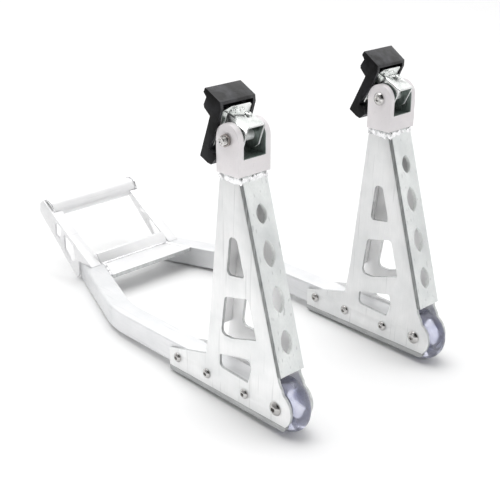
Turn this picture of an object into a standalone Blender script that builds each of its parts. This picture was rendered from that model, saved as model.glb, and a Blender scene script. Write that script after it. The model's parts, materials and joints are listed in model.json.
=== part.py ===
"""Paddock stand that lifts a motorcycle by the lower ends of its front fork.

Two aluminium uprights roll on clear wheels and carry swivelling heads with rubber pads.
Two rectangular rails run back from them, bend inwards and end at a crossbar and a raised
handle. The stand is drawn level: the wheel axle is the origin, x runs across, y towards
the handle and z up. An empty then tilts it until the wheels and the rails' rear ends
both stand on z = 0. Lengths are in millimetres, scaled to metres as each mesh is made.
"""

import math

import bmesh
import bpy
from mathutils import Matrix, Vector

MM = 0.001
GAP = 0.3  # left between pieces that touch

# Uprights and wheels
TRACK = 270.0  # between the middles of the two uprights
WIDTH = 40.0  # of an upright, over both side plates
PLATE = 4.0  # thickness of the side plates and the back plate
FRONT_PLATE = 6.0
LEAN = 0.286  # how far the front face goes back for each unit of height
FRONT_AT_AXLE = -22.0  # y of the front face's line at the axle's height
NOSE_RADIUS = 26.0
UPRIGHT_TOP = 282.1
UPRIGHT_FOOT = -20.0
SOLE = (-17.0, 203.0, 7.0)  # front edge, rear edge, thickness
WHEEL_RADIUS = 37.3
WHEEL_WIDTH = 24.0
AXLE_SLEEVE_RADIUS = 6.0
LENS_HEIGHTS = ((236.0, 25.0, 16.0), (189.5, 35.0, 18.5), (134.8, 35.0, 18.5), (83.0, 32.0, 18.0))

# Clevis and swivelling head
CLEVIS_WIDTH = 52.0
CLEVIS_DEPTH = 38.4
CLEVIS_BASE = 21.0
CLEVIS_SLOT = 34.5
PIN_Y = 76.7
PIN_Z = 324.8
PIN_RADIUS = 5.0
HEAD_TURN = {"left": 20.0, "right": 27.0}  # degrees; the two heads rest at different angles
ARM_WIDTH = 28.0
ARM_WALL = 2.5
ARM_TOP = 23.5
SLEEVE_RADIUS = 6.5
PAD_WIDTH = 55.0
PAD_FACE = 33.5  # from the pivot's axis to the face that the fork rests on

# Rails, crossbar and handle
RAIL_WIDTH = 31.4
RAIL_BOTTOM = -19.0
RAIL_TOP = 14.0
RAIL_WALL = 3.0
RAIL_START = 43.0
BEND_AT = 337.0  # where the rail's two straight centre lines would cross
BEND_RADIUS = 143.0
BEND_ANGLE = math.radians(21.3)
RAIL_END = 520.0
RAIL_BOLTS = {"front": 55.6, "middle": 126.6, "rear": 185.8}
BOLT_HEIGHT = -3.0
CROSSBAR = (433.9, 479.3, 7.0)  # front edge, rear edge, thickness
HANDLE_WEB_X = 86.0
HANDLE_TIP = (603.9, 93.2)  # y and z of the top corner at the handle's tip
HANDLE_REAR = (615.4, 76.0)  # rearmost point of the side members
HANDLE_SLOPE = math.tan(math.radians(31.9))
HANDLE_SHEET = 3.6
HANDLE_FLANGE = 15.3
GRIP = (596.7, 79.1, 15.0)  # y, z and radius of the grip tube
GRIP_WALL = 2.5
ROOT_PLATE_LENGTH = 134.4

BOLT_RADIUS = 4.0
HOLE_RADIUS = BOLT_RADIUS + GAP
NUT_FLATS = 13.0
NUT_SIZE = 6.5
BOLT_SPARE = 2.5  # thread that stands out of a nut

SIDE_VIEW = (math.pi / 2, 0.0, math.pi / 2)  # turns a slab's x, y, z to y, z, x
FRONT_VIEW = (math.pi / 2, 0.0, 0.0)  # turns a slab's x, y, z to x, z, -y
TO_LEFT = (0.0, -math.pi / 2, 0.0)  # turns a turned part's axis to -x
TO_RIGHT = (0.0, math.pi / 2, 0.0)
SIDES = {"left": -1, "right": 1}

MATERIALS = {
    "brushed_aluminium": ((0.82, 0.82, 0.82), 0.9, 0.38),
    "cast_aluminium": ((0.85, 0.84, 0.82), 0.7, 0.45),
    "zinc_steel": ((0.78, 0.78, 0.76), 1.0, 0.25),
    "chrome_steel": ((0.72, 0.72, 0.72), 1.0, 0.12),
    "black_rubber": ((0.02, 0.02, 0.02), 0.0, 0.6),
    "clear_tyre": ((0.62, 0.62, 0.80), 0.0, 0.1),
    "clear_plastic": ((0.85, 0.85, 0.92), 0.0, 0.1),
}


def clear_scene():
    for obj in list(bpy.data.objects):
        bpy.data.objects.remove(obj, do_unlink=True)


def new_collection(name):
    made = bpy.data.collections.new(name)
    bpy.context.scene.collection.children.link(made)
    return made


def make_material(name, colour, metallic, roughness):
    material = bpy.data.materials.new(name)
    material.use_nodes = True
    shader = material.node_tree.nodes["Principled BSDF"]
    shader.inputs["Base Color"].default_value = (*colour, 1.0)
    shader.inputs["Metallic"].default_value = metallic
    shader.inputs["Roughness"].default_value = roughness
    return material


clear_scene()
PARTS = new_collection("paddock_stand")
CUTTERS = new_collection("cutters")
SURFACES = {name: make_material(name, *look) for name, look in MATERIALS.items()}


# Outlines


def arc(centre, radius, start, end, steps):
    """Points from one angle to another, in degrees, both ends included."""
    angles = [math.radians(start + (end - start) * i / steps) for i in range(steps + 1)]
    return [(centre[0] + radius * math.cos(a), centre[1] + radius * math.sin(a)) for a in angles]


def circle(radius, centre=(0.0, 0.0), steps=24):
    return arc(centre, radius, 0, 360, steps)[:-1]


def lens(height, width):
    """Pointed oval: two equal arcs that meet at its top and bottom."""
    radius = (height**2 + width**2) / (4 * width)
    half = math.degrees(math.asin(height / 2 / radius))
    offset = radius - width / 2
    right = arc((-offset, 0), radius, -half, half, 8)
    left = arc((offset, 0), radius, 180 - half, 180 + half, 8)
    return right[:-1] + left[:-1]


def rounded(corners, steps=4):
    """Closed outline from corners (x, y, radius), with an arc at each corner that has a radius."""
    points = []
    for i, (x, y, radius) in enumerate(corners):
        corner = Vector((x, y))
        if not radius:
            points.append((x, y))
            continue
        back = (Vector(corners[i - 1][:2]) - corner).normalized()
        ahead = (Vector(corners[(i + 1) % len(corners)][:2]) - corner).normalized()
        half = back.angle(ahead) / 2
        centre = corner + (back + ahead).normalized() * radius / math.sin(half)
        arm = corner + back * radius / math.tan(half) - centre
        sweep = math.copysign(math.pi - 2 * half, ahead.cross(back))
        for step in range(steps + 1):
            turned_arm = Matrix.Rotation(sweep * step / steps, 2) @ arm
            points.append(tuple(centre + turned_arm))
    return points


def box_outline(x0, x1, y0, y1):
    return [(x0, y0), (x1, y0), (x1, y1), (x0, y1)]


# Solids


def finish_mesh(obj, material):
    """Gives a mesh object its material and smooth shading on its round faces."""
    obj.data.materials.clear()
    obj.data.materials.append(SURFACES[material])
    obj.data.shade_smooth()
    obj.data.set_sharp_from_angle(angle=math.radians(35))
    return obj


def slab(name, outlines, thickness, material="brushed_aluminium"):
    """Flat plate, centred on its own z = 0. The first outline is its edge, the others are holes."""
    curve = bpy.data.curves.new(name, "CURVE")
    curve.dimensions = "2D"
    curve.fill_mode = "BOTH"
    curve.extrude = thickness * MM / 2
    for outline in outlines:
        spline = curve.splines.new("POLY")
        spline.points.add(len(outline) - 1)
        for point, (x, y) in zip(spline.points, outline):
            point.co = (x * MM, y * MM, 0.0, 1.0)
        spline.use_cyclic_u = True
    guide = bpy.data.objects.new(name, curve)
    PARTS.objects.link(guide)
    graph = bpy.context.evaluated_depsgraph_get()
    mesh = bpy.data.meshes.new_from_object(guide.evaluated_get(graph))
    bpy.data.objects.remove(guide, do_unlink=True)
    bpy.data.curves.remove(curve)
    bm = bmesh.new()
    bm.from_mesh(mesh)
    bmesh.ops.remove_doubles(bm, verts=bm.verts, dist=1e-6)
    bmesh.ops.recalc_face_normals(bm, faces=bm.faces)
    bm.to_mesh(mesh)
    bm.free()
    mesh.name = name
    obj = bpy.data.objects.new(name, mesh)
    PARTS.objects.link(obj)
    return finish_mesh(obj, material)


def turned(name, profile, material, steps=24, ring=False):
    """Solid of revolution about its own z. The profile (radius, height) runs down its outer side.

    A ring's profile is a closed loop, and any other's begins and ends on the axis.
    """
    mesh = bpy.data.meshes.new(name)
    bm = bmesh.new()
    verts = [bm.verts.new((radius * MM, 0.0, height * MM)) for radius, height in profile]
    for first, second in zip(verts, verts[1:]):
        bm.edges.new((first, second))
    if ring:
        bm.edges.new((verts[-1], verts[0]))
    bm.to_mesh(mesh)
    bm.free()
    obj = bpy.data.objects.new(name, mesh)
    PARTS.objects.link(obj)
    screw = obj.modifiers.new("Screw", "SCREW")
    screw.steps = steps
    screw.render_steps = steps
    screw.use_merge_vertices = True
    screw.merge_threshold = 1e-6
    screw.use_smooth_shade = True
    return finish_mesh(obj, material)


def put(obj, parent, location=(0.0, 0.0, 0.0), rotation=(0.0, 0.0, 0.0)):
    obj.parent = parent
    obj.location = Vector(location) * MM
    obj.rotation_euler = rotation
    return obj


def combine(obj, tool, operation="DIFFERENCE"):
    """Applies a hidden tool object to a solid."""
    for holder in list(tool.users_collection):
        holder.objects.unlink(tool)
    CUTTERS.objects.link(tool)
    tool.hide_render = True
    tool.display_type = "WIRE"
    boolean = obj.modifiers.new(operation.title(), "BOOLEAN")
    boolean.operation = operation
    boolean.object = tool


def make_empty(name, parent, location, rotation=(0.0, 0.0, 0.0)):
    empty = bpy.data.objects.new(name, None)
    PARTS.objects.link(empty)
    return put(empty, parent, location, rotation)


def dome(radius, height, base, steps=3):
    """Profile of a domed bolt head: from the axis at its top, down to its rim at the base."""
    ball = (radius**2 + height**2) / (2 * height)
    middle = base + height - ball
    widest = math.asin(radius / ball)
    angles = [widest * i / steps for i in range(steps + 1)]
    return [(ball * math.sin(a), middle + ball * math.cos(a)) for a in angles]


def bolt(name, head_radius, head_height, shank_radius, seat, end):
    """Button-head bolt. Its head sits at the height seat and its shank runs down to end."""
    base = seat + GAP
    rim = base + 0.8
    profile = dome(head_radius, head_height - 0.8, rim)
    profile += [(head_radius, base), (shank_radius, base), (shank_radius, end), (0.0, end)]
    return turned(name, profile, "chrome_steel", steps=16)


def nut(name, across_flats, hole_radius, thickness):
    corner = across_flats / math.sqrt(3)
    outline = circle(corner, steps=6)
    return slab(name, [outline, circle(hole_radius, steps=12)], thickness, "zinc_steel")


def tube(name, outer, inner, length, material, steps=20):
    half = length / 2
    profile = [(outer, half), (outer, -half), (inner, -half), (inner, half)]
    return turned(name, profile, material, steps, ring=True)


# Tilt of the whole stand


def rail_end_corner():
    """y of the rail's outermost rear corner, whose bottom edge touches the floor."""
    return RAIL_END + RAIL_WIDTH / 2 * math.sin(BEND_ANGLE)


def floor_tilt():
    """Angle that puts the rails' rear ends as low as the bottom of the wheels."""
    reach = math.hypot(rail_end_corner(), RAIL_BOTTOM)
    return math.asin(WHEEL_RADIUS / reach) - math.atan2(-RAIL_BOTTOM, rail_end_corner())


TILT = floor_tilt()
REAR = HANDLE_REAR[0] * math.cos(TILT) + HANDLE_REAR[1] * math.sin(TILT)
STAND = make_empty("stand", None, (0, (WHEEL_RADIUS - REAR) / 2, WHEEL_RADIUS), (-TILT, 0, 0))


# Uprights


def front_line(z, behind=0.0):
    """y of the front plate's front face at a height, or of a line behind it."""
    return FRONT_AT_AXLE + LEAN * z + behind * math.hypot(1, LEAN)


def side_plate_outlines():
    edge = FRONT_PLATE + GAP
    nose = arc((0, 0), NOSE_RADIUS, 118, 230, 8)
    shape = rounded(
        [
            (front_line(UPRIGHT_TOP, edge), UPRIGHT_TOP, 0),
            (front_line(36.5, edge), 36.5, 0),
            (-9.6, 29.5, 0),
            *((y, z, 0) for y, z in nose),
            (203.0, UPRIGHT_FOOT, 1.5),
            (203.0, 5.9, 1.5),
            (127.5, 26.0, 3),
            (119.3, 77.0, 0),
            (95.7, UPRIGHT_TOP, 0),
        ],
        steps=3,
    )
    slot = rounded([(54.5, 156.1, 4), (86.7, 150.8, 6), (80.6, 203.5, 6), (67.9, 203.5, 6)], steps=4)
    middle = rounded(
        [(33.6, 80.2, 2), (78.3, 66.4, 8), (98.2, 66.0, 7), (90.2, 120.4, 5), (48.4, 131.0, 5)], steps=3
    )
    lower = rounded(
        [(48.9, 15.0, 2), (101.3, 17.8, 6), (100.7, 36.2, 3), (45.9, 49.6, 3), (42.6, 36.2, 0)], steps=3
    )
    holes = [circle(HOLE_RADIUS, (y, BOLT_HEIGHT), 12) for y in RAIL_BOLTS.values()]
    return [shape, slot, middle, lower, circle(HOLE_RADIUS, steps=12), *holes]


def make_front_plate(side, centre):
    foot = Vector((front_line(45.5), 45.5))
    inward = Vector((1, -LEAN)).normalized() * FRONT_PLATE
    profile = [
        tuple(foot),
        tuple(foot + inward),
        (front_line(UPRIGHT_TOP, FRONT_PLATE), UPRIGHT_TOP),
        (front_line(UPRIGHT_TOP), UPRIGHT_TOP),
    ]
    plate = slab(f"front_plate_{side}", [profile], WIDTH)
    put(plate, STAND, (centre, 0, 0), SIDE_VIEW)
    slope = math.atan(LEAN)
    for i, (height, length, width) in enumerate(LENS_HEIGHTS):
        cutter = slab(f"lens_cutter_{side}_{i}", [lens(length, width)], 4 * FRONT_PLATE)
        place = (centre, front_line(height, FRONT_PLATE / 2), height)
        put(cutter, STAND, place, (math.pi / 2 - slope, 0, 0))
        combine(plate, cutter)


def make_upright(side, sign):
    centre = sign * TRACK / 2
    offset = (WIDTH - PLATE) / 2
    outlines = side_plate_outlines()
    for name, reach in (("outer", sign * offset), ("inner", -sign * offset)):
        plate = slab(f"{name}_plate_{side}", outlines, PLATE)
        put(plate, STAND, (centre + reach, 0, 0), SIDE_VIEW)
    make_front_plate(side, centre)
    rear = [(121.0, 66.0), (119.3, 77.0), (95.7, UPRIGHT_TOP)]
    back = rear + [(y - PLATE, z) for y, z in reversed(rear)]
    inside = WIDTH - 2 * (PLATE + GAP)
    put(slab(f"back_plate_{side}", [back], inside), STAND, (centre, 0, 0), SIDE_VIEW)


def make_sole(side, sign):
    """Plate under the foot, forked at its front round the wheel."""
    centre = sign * TRACK / 2
    front, rear, thickness = SOLE
    top = UPRIGHT_FOOT - GAP
    bottom = top - thickness
    fork_end = 36.0
    outline = rounded([(front, top, 0), (front, bottom, 6), (rear, bottom, 0), (rear, top, 0)], steps=6)
    sole = slab(f"sole_plate_{side}", [outline], WIDTH)
    put(sole, STAND, (centre, 0, 0), SIDE_VIEW)
    fork = box_outline(front - 1, fork_end, bottom - 1, top + 1)
    cutter = slab(f"sole_fork_{side}", [fork], WHEEL_WIDTH + 3)
    combine(sole, put(cutter, STAND, (centre, 0, 0), SIDE_VIEW))


def make_rail_bolts(side, sign):
    """Bolts through both side plates and the rail, with their heads on the -x side."""
    centre = sign * TRACK / 2
    face = WIDTH / 2
    end = -face - NUT_SIZE - BOLT_SPARE
    seat = centre + face + GAP + NUT_SIZE / 2
    for place, y in RAIL_BOLTS.items():
        fastener = bolt(f"rail_bolt_{place}_{side}", 6.75, 4.2, BOLT_RADIUS, face, end)
        put(fastener, STAND, (centre, y, BOLT_HEIGHT), TO_LEFT)
        fastener = nut(f"rail_nut_{place}_{side}", NUT_FLATS, HOLE_RADIUS, NUT_SIZE)
        put(fastener, STAND, (seat, y, BOLT_HEIGHT), TO_RIGHT)


# Wheels


def make_wheel(side, sign):
    centre = sign * TRACK / 2
    axle = make_empty(f"wheel_axis_{side}", STAND, (centre, 0, 0))
    half = WHEEL_WIDTH / 2
    hub_radius = 21.0
    crown_drop = 8.5
    bearing_radius, bearing_width = 11.0, 7.0
    places = (1, 0.7, 0.35, 0, -0.35, -0.7, -1)
    crown = [(WHEEL_RADIUS - crown_drop * abs(t) ** 2.3, half * t) for t in places]
    bore = hub_radius + GAP
    profile = [*crown, (bore, -half), (bore, half)]
    tyre = turned(f"wheel_tyre_{side}", profile, "clear_tyre", steps=36, ring=True)
    put(tyre, axle, rotation=TO_RIGHT)
    seat = bearing_radius + GAP
    shelf = half - bearing_width - GAP
    passage = 8.0
    profile = [
        (hub_radius, half),
        (hub_radius, -half),
        (seat, -half),
        (seat, -shelf),
        (passage, -shelf),
        (passage, shelf),
        (seat, shelf),
        (seat, half),
    ]
    hub = turned(f"wheel_hub_{side}", profile, "clear_plastic", ring=True)
    put(hub, axle, rotation=TO_RIGHT)
    bore = AXLE_SLEEVE_RADIUS + GAP
    for name, way in (("outer", sign), ("inner", -sign)):
        bearing = f"wheel_bearing_{name}_{side}"
        bearing = tube(bearing, bearing_radius, bore, bearing_width, "chrome_steel")
        put(bearing, axle, (way * (half - bearing_width / 2), 0, 0), TO_RIGHT)
    length = WIDTH - 2 * (PLATE + GAP)
    sleeve = tube(f"axle_sleeve_{side}", AXLE_SLEEVE_RADIUS, HOLE_RADIUS, length, "zinc_steel")
    put(sleeve, STAND, (centre, 0, 0), TO_RIGHT)
    face = WIDTH / 2
    axle_bolt = bolt(f"axle_bolt_{side}", 9.2, 5.2, BOLT_RADIUS, face, -face - NUT_SIZE - BOLT_SPARE)
    put(axle_bolt, STAND, (centre, 0, 0), TO_LEFT)
    axle_nut = nut(f"axle_nut_{side}", NUT_FLATS, HOLE_RADIUS, NUT_SIZE)
    put(axle_nut, STAND, (centre + face + GAP + NUT_SIZE / 2, 0, 0), TO_RIGHT)


# Clevis and head


def make_clevis(side, sign):
    centre = sign * TRACK / 2
    half = CLEVIS_WIDTH / 2
    slot = CLEVIS_SLOT / 2
    bottom = UPRIGHT_TOP + GAP
    ear_radius = CLEVIS_DEPTH / 2
    top = PIN_Z + ear_radius + 1.0
    floor = bottom + CLEVIS_BASE
    fork = [
        (-half, bottom),
        (half, bottom),
        (half, top),
        (slot, top),
        (slot, floor),
        (-slot, floor),
        (-slot, top),
        (-half, top),
    ]
    clevis = slab(f"clevis_{side}", [fork], CLEVIS_DEPTH, "cast_aluminium")
    put(clevis, STAND, (centre, PIN_Y, 0), FRONT_VIEW)
    ears = arc((PIN_Y, PIN_Z), ear_radius, 0, 180, 16)
    edge = ear_radius + 0.01
    ears = [(PIN_Y - edge, bottom - 1), (PIN_Y + edge, bottom - 1), *ears]
    shaper = slab(f"ear_shape_{side}", [ears], CLEVIS_WIDTH + 2)
    combine(clevis, put(shaper, STAND, (centre, 0, 0), SIDE_VIEW), "INTERSECT")
    drill = slab(f"pin_hole_{side}", [circle(PIN_RADIUS + GAP, (PIN_Y, PIN_Z))], CLEVIS_WIDTH + 2)
    combine(clevis, put(drill, STAND, (centre, 0, 0), SIDE_VIEW))


def make_pivot(side, sign):
    """Bolt through the clevis, with its head on the inner side and its nut on the outer side."""
    centre = sign * TRACK / 2
    outward = TO_RIGHT if sign > 0 else TO_LEFT
    inward = TO_LEFT if sign > 0 else TO_RIGHT
    half = CLEVIS_WIDTH / 2
    nut_size = 4.0
    pin = bolt(f"pivot_bolt_{side}", 8.4, 4.6, PIN_RADIUS, half, -half - 9.4)
    put(pin, STAND, (centre, PIN_Y, PIN_Z), inward)
    fastener = nut(f"pivot_nut_{side}", 14.0, PIN_RADIUS + GAP, nut_size)
    seat = centre + sign * (half + GAP + nut_size / 2)
    put(fastener, STAND, (seat, PIN_Y, PIN_Z), outward)


def make_arm(side, head):
    """Folded channel, open below, that turns on the pivot's sleeve."""
    front, rear, top, bottom = -15.2, 19.7, ARM_TOP, -13.8
    outer = ARM_WIDTH / 2
    inner = outer - ARM_WALL
    channel = [
        (-outer, bottom),
        (-outer, top),
        (outer, top),
        (outer, bottom),
        (inner, bottom),
        (inner, top - ARM_WALL),
        (-inner, top - ARM_WALL),
        (-inner, bottom),
    ]
    arm = slab(f"swivel_arm_{side}", [channel], rear - front, "zinc_steel")
    put(arm, head, (0, (front + rear) / 2, 0), FRONT_VIEW)
    cheek = rounded(
        [
            (front - 1, top + 1, 0),
            (front, -5.0, 3),
            (-9.0, bottom - 0.5, 6),
            (8.0, bottom - 0.5, 6),
            (rear + 1, -6.0, 3),
            (rear + 1, top + 1, 0),
        ]
    )
    shaper = slab(f"arm_shape_{side}", [cheek], ARM_WIDTH + 2)
    combine(arm, put(shaper, head, rotation=SIDE_VIEW), "INTERSECT")
    drill = slab(f"sleeve_hole_{side}", [circle(SLEEVE_RADIUS + GAP, steps=20)], ARM_WIDTH + 2)
    combine(arm, put(drill, head, rotation=SIDE_VIEW))
    length = CLEVIS_SLOT - 2 * GAP
    sleeve = tube(f"pivot_sleeve_{side}", SLEEVE_RADIUS, PIN_RADIUS + GAP, length, "zinc_steel")
    put(sleeve, head, rotation=TO_RIGHT)


def make_carrier(side, head):
    """Plate across the back of the arm, with a tab folded back under the pad's hood."""
    front, rear, top, bottom = 20.0, 23.0, 29.6, -24.0
    half = 23.0
    outline = rounded(
        [
            (-half, bottom, 2),
            (half, bottom, 2),
            (half, 25.4, 1.5),
            (19.0, top, 0),
            (-11.0, top, 0),
            (-half, 25.0, 1.5),
        ],
        steps=2,
    )
    plate = slab(f"carrier_plate_{side}", [outline], rear - front, "zinc_steel")
    put(plate, head, (0, (front + rear) / 2, 0), FRONT_VIEW)
    fold = box_outline(front + 0.5, 31.0, top - 2.6, top - 0.1)
    tab = slab(f"carrier_tab_{side}", [fold], 9.5)
    combine(plate, put(tab, head, (14.5, 0, 0), SIDE_VIEW), "UNION")


def make_pad(side, head):
    """Rubber boot over the carrier: a long flat back, a hood above it and a lip below."""
    outline = rounded(
        [
            (9.0, -33.0, 0.8),
            (12.6, -42.2, 2),
            (19.3, -43.5, 0),
            (PAD_FACE, -42.5, 1),
            (PAD_FACE, 12.4, 0.6),
            (45.5, 16.7, 1),
            (47.4, 19.9, 0),
            (46.2, 30.4, 0),
            (52.3, 33.6, 1),
            (51.5, 40.0, 1),
            (23.0, 36.8, 1),
            (19.5, 30.0, 0),
            (18.7, 6.0, 0),
            (23.2, -26.4, 0),
            (12.2, -26.9, 1),
        ],
        steps=3,
    )
    pad = slab(f"rubber_pad_{side}", [outline], PAD_WIDTH, "black_rubber")
    put(pad, head, rotation=SIDE_VIEW)
    floor, roof, shelf = 23.3, 33.6, 25.5
    pocket = [(0, -26.0), (floor, -26.0), (floor, shelf), (32.5, shelf), (32.5, roof), (0, roof)]
    cutter = slab(f"pad_pocket_{side}", [pocket], 46.8)
    combine(pad, put(cutter, head, rotation=SIDE_VIEW))


def make_pad_screw(side, head):
    """Small pan-head screw through the top of the arm."""
    x, y = 6.4, 7.8
    head_radius, shank_radius, length = 4.3, 2.0, 8.0
    seat = ARM_TOP + GAP
    end = seat - length
    profile = dome(head_radius, 2.2, seat + 0.6)
    profile += [(head_radius, seat), (shank_radius, seat), (shank_radius, end), (0.0, end)]
    put(turned(f"pad_screw_{side}", profile, "zinc_steel", steps=12), head, (x, y, 0))
    drill = slab(f"screw_hole_{side}", [circle(shank_radius + GAP, steps=12)], 4 * ARM_WALL)
    combine(bpy.data.objects[f"swivel_arm_{side}"], put(drill, head, (x, y, ARM_TOP)))


def make_head(side, sign):
    turn = math.radians(HEAD_TURN[side])
    head = make_empty(f"head_axis_{side}", STAND, (sign * TRACK / 2, PIN_Y, PIN_Z), (turn, 0, 0))
    make_arm(side, head)
    make_carrier(side, head)
    make_pad(side, head)
    make_pad_screw(side, head)


# Rails, crossbar and handle


def rail_path(offset, start, end, steps=6):
    """Points (inward, y) along a line beside the rail's centre line, positive towards the middle."""
    tangent = BEND_RADIUS * math.tan(BEND_ANGLE / 2)
    centre = (BEND_RADIUS, BEND_AT - tangent)
    radius = BEND_RADIUS - offset
    bend = arc(centre, radius, 180, 180 - math.degrees(BEND_ANGLE), steps)
    along = Vector((math.sin(BEND_ANGLE), math.cos(BEND_ANGLE)))
    corner = Vector((0, BEND_AT))
    across = Vector((math.cos(BEND_ANGLE), -math.sin(BEND_ANGLE)))
    last = corner + along * (end - BEND_AT) / math.cos(BEND_ANGLE) + across * offset
    return [(offset, start), *bend, tuple(last)]


def rail_outline(sign, half, start, end):
    """Plan of the rail, or of its hollow, in world x and y."""
    inner = rail_path(half, start, end)
    outer = rail_path(-half, start, end)
    return [(sign * (TRACK / 2 - inward), y) for inward, y in inner + outer[::-1]]


def make_rail(side, sign):
    middle = (RAIL_TOP + RAIL_BOTTOM) / 2
    height = RAIL_TOP - RAIL_BOTTOM
    half = RAIL_WIDTH / 2
    rail = slab(f"rail_{side}", [rail_outline(sign, half, RAIL_START, RAIL_END)], height)
    put(rail, STAND, (0, 0, middle))
    hollow = rail_outline(sign, half - RAIL_WALL, RAIL_START - 5, RAIL_END + 5)
    core = slab(f"rail_hollow_{side}", [hollow], height - 2 * RAIL_WALL)
    combine(rail, put(core, STAND, (0, 0, middle)))
    for place, y in RAIL_BOLTS.items():
        drill = slab(f"rail_drill_{place}_{side}", [circle(HOLE_RADIUS, steps=12)], WIDTH)
        combine(rail, put(drill, STAND, (sign * TRACK / 2, y, BOLT_HEIGHT), TO_RIGHT))


def rail_inner_x(y, clearance=GAP):
    """Half-width between the rails behind their bend."""
    run = (y - BEND_AT) * math.tan(BEND_ANGLE)
    return TRACK / 2 - run - (RAIL_WIDTH / 2 + clearance) / math.cos(BEND_ANGLE)


def make_crossbar():
    front, rear, thickness = CROSSBAR
    ends = rail_inner_x(front), rail_inner_x(rear)
    outline = [(-ends[0], front), (ends[0], front), (ends[1], rear), (-ends[1], rear)]
    put(slab("crossbar", [outline], thickness), STAND, (0, 0, RAIL_TOP - thickness / 2))


def handle_line(y, below=0.0):
    """z of the handle's top edge, or of a line below it, at a distance back."""
    return HANDLE_TIP[1] + (y - HANDLE_TIP[0]) * HANDLE_SLOPE - below * math.hypot(1, HANDLE_SLOPE)


def handle_root(z, below=0.0):
    """Distance back at which the handle's top edge, or a line below it, has a height."""
    return HANDLE_TIP[0] + (z - handle_line(HANDLE_TIP[0], below)) / HANDLE_SLOPE


def make_handle_side(side, sign):
    """Upright web with two windows, and a flange along its top edge that points inwards."""
    seat = RAIL_TOP + GAP
    notch = 513.2  # the web drops behind the rail from here
    web = rounded(
        [
            (handle_root(seat), seat, 0),
            (notch, seat, 0),
            (notch, -9.5, 1),
            (520.3, -16.4, 2),
            (616.2, 70.8, 6),
            (613.6, 86.0, 6),
            (*HANDLE_TIP, 3),
        ],
        steps=3,
    )
    rear_window = rounded([(557.3, 58.0, 2), (561.9, 37.0, 2), (574.6, 43.0, 2), (573.2, 66.5, 2)], steps=2)
    front_window = rounded(
        [(525.4, 35.6, 2), (520.8, 13.6, 2), (534.9, 5.8, 2), (551.0, 24.8, 2), (550.3, 51.0, 2)], steps=2
    )
    plate = slab(f"handle_side_{side}", [web, rear_window, front_window], HANDLE_SHEET)
    put(plate, STAND, (sign * HANDLE_WEB_X, 0, 0), SIDE_VIEW)
    end = GRIP[0] - GRIP[2] - 2.7
    cut_back = HANDLE_SHEET * HANDLE_SLOPE / math.hypot(1, HANDLE_SLOPE)
    flange = [
        (handle_root(seat), seat),
        (handle_root(seat, HANDLE_SHEET), seat),
        (end + cut_back, handle_line(end + cut_back, HANDLE_SHEET)),
        (end, handle_line(end)),
    ]
    overlap = HANDLE_SHEET / 2
    strip = slab(f"handle_flange_{side}", [flange], HANDLE_FLANGE + overlap)
    reach = HANDLE_WEB_X - (HANDLE_SHEET + HANDLE_FLANGE - overlap) / 2
    combine(plate, put(strip, STAND, (sign * reach, 0, 0), SIDE_VIEW), "UNION")


def make_handle():
    for side, sign in SIDES.items():
        make_handle_side(side, sign)
    y, z, radius = GRIP
    length = 2 * (HANDLE_WEB_X - HANDLE_SHEET / 2 - GAP)
    grip = tube("grip_tube", radius, radius - GRIP_WALL, length, "brushed_aluminium", 32)
    put(grip, STAND, (0, y, z), TO_RIGHT)
    seat = RAIL_TOP + GAP
    profile = [(479.6, seat), (484.6, seat), (495.2, 28.0), (490.2, 28.0)]
    put(slab("handle_root_plate", [profile], ROOT_PLATE_LENGTH), STAND, rotation=SIDE_VIEW)


def main():
    for side, sign in SIDES.items():
        make_upright(side, sign)
        make_sole(side, sign)
        make_rail_bolts(side, sign)
        make_wheel(side, sign)
        make_clevis(side, sign)
        make_pivot(side, sign)
        make_head(side, sign)
        make_rail(side, sign)
    make_crossbar()
    make_handle()


main()
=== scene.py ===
"""Looks of the paddock stand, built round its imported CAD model.

Pieces are drawn in the stand's own frame, in millimetres: the wheel axle is the origin, x runs
across, y towards the handle and z up, as if the stand were level. A head's pieces are drawn
from its pivot instead. Every mesh is then moved to its place in the frame, in metres.
"""

import json
import math
import random

import bmesh
import bpy
from mathutils import Matrix, Vector, noise


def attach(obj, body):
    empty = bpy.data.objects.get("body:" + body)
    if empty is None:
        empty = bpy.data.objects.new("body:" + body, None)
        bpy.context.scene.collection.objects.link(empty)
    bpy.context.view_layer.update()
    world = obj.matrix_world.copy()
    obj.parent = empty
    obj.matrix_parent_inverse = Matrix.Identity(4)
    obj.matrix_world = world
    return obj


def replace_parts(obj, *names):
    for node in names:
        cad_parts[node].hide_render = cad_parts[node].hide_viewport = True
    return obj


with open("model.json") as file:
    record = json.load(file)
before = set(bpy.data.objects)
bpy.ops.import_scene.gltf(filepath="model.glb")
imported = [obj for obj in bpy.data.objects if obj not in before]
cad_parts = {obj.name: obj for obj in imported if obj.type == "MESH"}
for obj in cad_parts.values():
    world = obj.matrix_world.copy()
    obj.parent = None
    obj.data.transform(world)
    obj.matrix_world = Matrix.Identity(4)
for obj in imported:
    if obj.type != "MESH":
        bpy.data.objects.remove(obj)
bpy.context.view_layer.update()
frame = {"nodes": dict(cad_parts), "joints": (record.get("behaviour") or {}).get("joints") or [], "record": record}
MM = 0.001
GAP = 0.3
SIDES = {"left": -1, "right": 1}
RANDOM = random.Random(7)

# Dimensions that the pieces share with the CAD, in millimetres. First the uprights
TRACK = 270.0
WIDTH = 40.0
PLATE = 4.0
LEAN = 0.286
FRONT_AT_AXLE = -22.0
UPRIGHT_TOP = 282.1
UPRIGHT_REAR = 96.4
SOLE_BOTTOM = -27.3
# Clevises and heads
PIN = Vector((0.0, 76.7, 324.8))
PIN_RADIUS = 5.0
CLEVIS_WIDTH = 52.0
CLEVIS_SLOT = 34.5
ARM_WIDTH = 28.0
ARM_TOP = 23.5
ARM_SHEET = 2.2
PAD_SCREW_PLACE = (6.4, 7.8, 0)
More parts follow.
